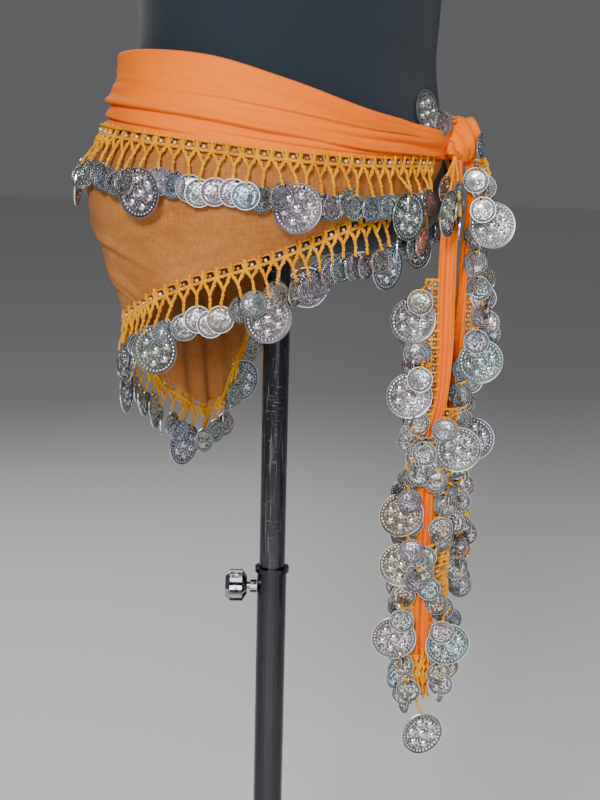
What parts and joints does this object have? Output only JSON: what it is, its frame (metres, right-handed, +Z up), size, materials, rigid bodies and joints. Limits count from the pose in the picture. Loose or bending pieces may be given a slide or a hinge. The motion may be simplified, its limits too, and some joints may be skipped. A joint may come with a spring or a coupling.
{
  "type": "belly dance hip scarf on a limbless dress form",
  "caption": "Orange chiffon hip scarf with crochet, beads and coins, tied at the side of a limbless dress form on a round-based pole stand.",
  "frame": {"origin": "centre of the floor base's underside, on the pole's axis", "axes": "+Z up along the pole, +X toward the knot and the hanging tails, the form's chest faces between +X and -Y"},
  "size_m": [0.3865, 0.38, 1.5403],
  "materials": {
    "chiffon": "light orange crepe chiffon, soft sheen",
    "crochet": "golden orange mercerised crochet thread",
    "coin_metal": "antiqued stamped silver-coloured coins",
    "beads": "iridescent purple-silver seed beads",
    "jersey": "slate blue ribbed jersey",
    "cap_plastic": "satin black neck cap",
    "scratched_chrome": "worn chromed tube with long scratches",
    "chrome": "polished chrome",
    "enamel": "black enamel"
  },
  "bodies": {
    "stand": {"stand_base": "enamel", "mast_lower": "chrome", "clamp_boss": "chrome"},
    "mast": {"mast_upper": "scratched_chrome"},
    "form": {"form_plate": "enamel", "form_torso": "jersey", "form_cap": "cap_plastic", "scarf_under": "chiffon", "scarf_upper": "chiffon", "knot": "chiffon", "tail_long": "chiffon", "tail_short": "chiffon", "fringe_upper": "coin_metal", "fringe_lower": "coin_metal", "fringe_knot": "coin_metal", "fringe_long_left": "coin_metal", "fringe_long_right": "coin_metal", "fringe_short_left": "coin_metal", "fringe_short_right": "coin_metal"},
    "knob": {"clamp_knob": "chrome"}
  },
  "joints": [
    {"name": "height_slide", "type": "slide", "parent": "stand", "child": "mast", "axis": [0, 0, 1], "range_m": [-0.2, 0.1]},
    {"name": "form_swivel", "type": "hinge", "parent": "mast", "child": "form", "pos_m": [0, 0, 0.8464], "axis": [0, 0, 1], "continuous": true},
    {"name": "knob_turn", "type": "hinge", "parent": "stand", "child": "knob", "pos_m": [-0.03, 0, 0.5555], "axis": [-1, 0, 0], "range_deg": [0, 540]}
  ]
}
